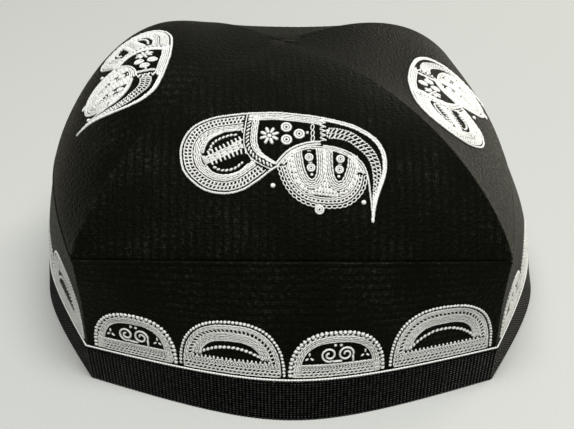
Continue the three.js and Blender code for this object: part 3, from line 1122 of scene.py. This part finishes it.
class Shading:
    """A new material, with the helpers that add nodes to it."""

    def __init__(self, name):
        self.material = bpy.data.materials.new(name)
        self.material.use_nodes = True
        self.nodes = self.material.node_tree.nodes

    def fill(self, node, values):
        """Gives a node's inputs their values, or links them to other nodes' outputs."""
        for key, value in values.items():
            if isinstance(value, bpy.types.NodeSocket):
                self.material.node_tree.links.new(value, node.inputs[key])
            else:
                node.inputs[key].default_value = value
        return node

    def done(self, values):
        """The material, once the values of its shader are in."""
        self.fill(self.nodes["Principled BSDF"], values)
        return self.material

    def attribute(self, name):
        node = self.nodes.new("ShaderNodeAttribute")
        node.attribute_name = name
        return node.outputs["Vector"]

    def separate(self, vector):
        return self.fill(self.nodes.new("ShaderNodeSeparateXYZ"), {0: vector}).outputs

    def wave(self, source, direction, bands, distortion):
        """Bands across a direction of the source, so many to a millimetre."""
        node = self.nodes.new("ShaderNodeTexWave")
        node.bands_direction = direction
        values = {"Scale": bands / WAVE_BANDS, "Distortion": distortion, "Detail": 1.0}
        return self.fill(node, {"Vector": source, **values}).outputs["Fac"]

    def noise(self, source, scale, detail):
        node = self.nodes.new("ShaderNodeTexNoise")
        values = {"Vector": source, "Scale": scale, "Detail": detail}
        return self.fill(node, values).outputs["Fac"]

    def math(self, operation, a, b=0.0):
        node = self.nodes.new("ShaderNodeMath")
        node.operation = operation
        return self.fill(node, {0: a, 1: b}).outputs[0]

    def ramp(self, factor, stops):
        """A colour that changes from stop to stop; each is a place and a colour."""
        node = self.nodes.new("ShaderNodeValToRGB")
        ends = node.color_ramp.elements
        ends[0].position, ends[0].color = stops[0][0], (*stops[0][1], 1)
        ends[1].position, ends[1].color = stops[-1][0], (*stops[-1][1], 1)
        for place, colour in stops[1:-1]:
            ends.new(place).color = (*colour, 1)
        return self.fill(node, {"Fac": factor}).outputs["Color"]

    def bump(self, height, strength, depth, below=None):
        """Relief of a depth in millimetres, over the relief below it."""
        node = self.nodes.new("ShaderNodeBump")
        values = {"Height": height, "Strength": strength, "Distance": depth * MM}
        if below is not None:
            values["Normal"] = below
        return self.fill(node, values).outputs["Normal"]


def quilted_cotton(name, direction, pitch):
    """Matt black plain-woven cotton with slubs, a few specks of lint, and lines of quilting
    across a direction, a pitch apart, with painted shade that darkens the cloth along them."""
    cloth = Shading(name)
    flat = cloth.attribute("flat_mm")
    warp = cloth.wave(flat, "X", 1.9, 1.5)
    weft = cloth.wave(flat, "Y", 1.9, 1.5)
    weave = cloth.math("MULTIPLY", warp, weft)
    slub = cloth.noise(flat, 0.8, 5.0)
    cloud = cloth.noise(flat, 0.05, 3.0)
    line = cloth.math("POWER", cloth.wave(flat, direction, 1 / pitch, 1.2), 3.0)
    mixed = cloth.math("ADD", slub, cloth.math("MULTIPLY", cloud, 0.6))
    # Painted shade: the weave is darkened along the grooves of the quilting lines.
    weave_and_quilt_shade = cloth.math("SUBTRACT", weave, cloth.math("MULTIPLY", line, 0.6))
    tone = cloth.math("ADD", mixed, cloth.math("MULTIPLY", weave_and_quilt_shade, 0.3))
    colour = cloth.ramp(cloth.math("MULTIPLY", tone, 0.6), [
        (0.32, (0.0002, 0.0003, 0.0002)),
        (0.47, (0.0005, 0.0006, 0.0003)),
        (0.62, (0.0022, 0.0024, 0.0014)),
        (0.74, (0.0340, 0.0340, 0.0290)),
    ])
    fine = cloth.bump(weave, 0.8, 0.1)
    coarse = cloth.bump(slub, 1.0, 0.9, fine)
    return cloth.done({
        "Base Color": colour,
        "Normal": cloth.bump(line, 0.25, -0.3, coarse),
        "Roughness": cloth.math("ADD", cloth.math("MULTIPLY", slub, 0.7), 0.22),
        "Specular IOR Level": 0.056,
        "Specular Tint": (1.0, 0.96, 0.68, 1.0),
        "Sheen Weight": 0.05,
        "Sheen Roughness": 0.2,
        "Sheen Tint": (1.0, 0.9, 0.6, 1.0),
    })


def ribbed_tape():
    """Black tape: weft threads, with painted shade that darkens them in the grooves between its
    ribs so that they show lighter on the crests, and a sheen at a flat angle."""
    tape = Shading("ribbed tape")
    flat = tape.attribute("flat_mm")
    weft = tape.wave(flat, "Y", 1 / WEFT_PITCH, 0.5)
    slub = tape.noise(flat, 0.7, 4.0)
    groove = tape.separate(flat)["Z"]
    # Painted shade: the grooves between the ribs are darker than the crests.
    crest = tape.math("SUBTRACT", 1.0, tape.math("MULTIPLY", groove, 0.8))
    thread = tape.math("MULTIPLY", crest, tape.math("ADD", weft, 0.1))
    tone = tape.math("MULTIPLY", thread, tape.math("ADD", slub, 0.15))
    return tape.done({
        "Base Color": tape.ramp(tone, [
            (0.1, (0.0004, 0.0005, 0.0004)),
            (0.42, (0.0014, 0.0016, 0.0013)),
            (0.70, (0.0480, 0.0530, 0.0450)),
        ]),
        "Normal": tape.bump(thread, 0.9, 0.3),
        "Roughness": 0.7,
        "Specular IOR Level": 0.03,
        "Sheen Weight": 0.5,
        "Sheen Roughness": 0.12,
        "Sheen Tint": (1.0, 0.95, 0.88, 1.0),
    })


def white_thread():
    """White cotton thread: its own twist, painted shade towards the sides of each stitch, where
    stitches meet, and a tone that changes a little stitch by stitch."""
    cotton = Shading("white thread")
    thread = cotton.attribute("thread_mm")
    parts = cotton.separate(thread)
    twist = cotton.wave(thread, "DIAGONAL", 1.6, 0.4)
    tone = cotton.noise(thread, 1.7, 2.0)
    # Painted shade: the colour darkens towards the sides of each stitch and ply, where threads
    # meet.
    edge = cotton.math("POWER", cotton.math("ABSOLUTE", parts["Y"]), 2.0)
    mixed = cotton.math("MULTIPLY", cotton.math("ADD", twist, tone), 0.25)
    lit = cotton.math("SUBTRACT", 0.75, cotton.math("MULTIPLY", edge, 0.5))
    return cotton.done({
        "Base Color": cotton.ramp(cotton.math("ADD", mixed, lit), [
            (0.25, (0.10, 0.096, 0.083)),
            (0.6, (0.44, 0.43, 0.395)),
            (0.95, (0.78, 0.775, 0.74)),
        ]),
        "Normal": cotton.bump(twist, 0.5, 0.08),
        "Roughness": 0.6,
        "Specular IOR Level": 0.3,
        "Sheen Weight": 0.1,
    })


def paper_floor():
    """Pale matt paper with a fine grain."""
    paper = Shading("pale floor")
    place = paper.nodes.new("ShaderNodeTexCoord").outputs["Object"]
    return paper.done({
        "Base Color": paper.ramp(paper.noise(place, 900.0, 3.0), [
            (0.3, (0.47, 0.475, 0.448)),
            (0.7, (0.49, 0.495, 0.468)),
        ]),
        "Roughness": 0.9,
        "Specular IOR Level": 0.1,
    })


# Floor, light and camera

FLOOR_REACH = 6000.0


def floor():
    corners = np.array([[-1, -1, 0], [1, -1, 0], [1, 1, 0], [-1, 1, 0]]) * FLOOR_REACH
    mesh = bpy.data.meshes.new("floor")
    mesh.from_pydata((corners * MM).tolist(), [], [(0, 1, 2, 3)])
    piece = add_object("floor", mesh)
    mesh.materials.append(paper_floor())


def area_light(name, place, target, size, power, colour):
    """A round soft light at a place, facing a target; both in millimetres."""
    light = bpy.data.lights.new(name, "AREA")
    light.shape = "DISK"
    light.size = size * MM
    light.energy = power
    light.color = colour
    obj = add_object(name, light)
    obj.location = Vector(place) * MM
    obj.rotation_euler = (Vector(target) - Vector(place)).to_track_quat("-Z", "Y").to_euler()


def lights():
    """Window light from behind on the picture's right, soft light from above, and a little
    on the floor behind."""
    area_light("window", (1000, 880, 300), (0, 0, 50), 700, 12.0, (1.0, 0.965, 0.84))
    area_light("top", (60, -430, 1200), (0, 0, 50), 1000, 22.5, (0.99, 0.995, 1.0))
    area_light("back", (100, 900, 600), (60, 1000, 0), 800, 2.2, (1.0, 1.0, 0.98))
    world = bpy.data.worlds.new("studio")
    bpy.context.scene.world = world
    world.use_nodes = True
    background = world.node_tree.nodes["Background"]
    background.inputs["Color"].default_value = (0.98, 1.0, 0.97, 1)
    background.inputs["Strength"].default_value = 0.19


def camera():
    """The camera where the photograph was taken from."""
    back = np.array([
        math.sin(CAMERA_TURN) * math.cos(CAMERA_ELEVATION),
        -math.cos(CAMERA_TURN) * math.cos(CAMERA_ELEVATION),
        math.sin(CAMERA_ELEVATION),
    ])
    data = bpy.data.cameras.new("camera")
    data.sensor_width = 36.0
    data.lens = LENS
    obj = add_object("camera", data)
    obj.location = (CAMERA_TARGET + back * CAMERA_DISTANCE) * MM
    obj.rotation_euler = (math.pi / 2 - CAMERA_ELEVATION, 0, CAMERA_TURN)
    bpy.context.scene.camera = obj


# The cap

PANEL_COTTON = quilted_cotton("quilted cotton", "X", QUILT_PITCH)
BAND_COTTON = quilted_cotton("banded cotton", "Y", BAND_QUILT_PITCH)
RIBBED = ribbed_tape()
THREAD = white_thread()

for quarter in range(4):
    crown_panel(quarter).data.materials.append(PANEL_COTTON)
side_band().data.materials.append(BAND_COTTON)
edge_tape().data.materials.append(RIBBED)
piping().data.materials.append(THREAD)
for quarter in range(4):
    crown_motif(quarter)
    band_arches(quarter)

floor()
lights()
camera()
bpy.context.scene.view_settings.view_transform = "Standard"
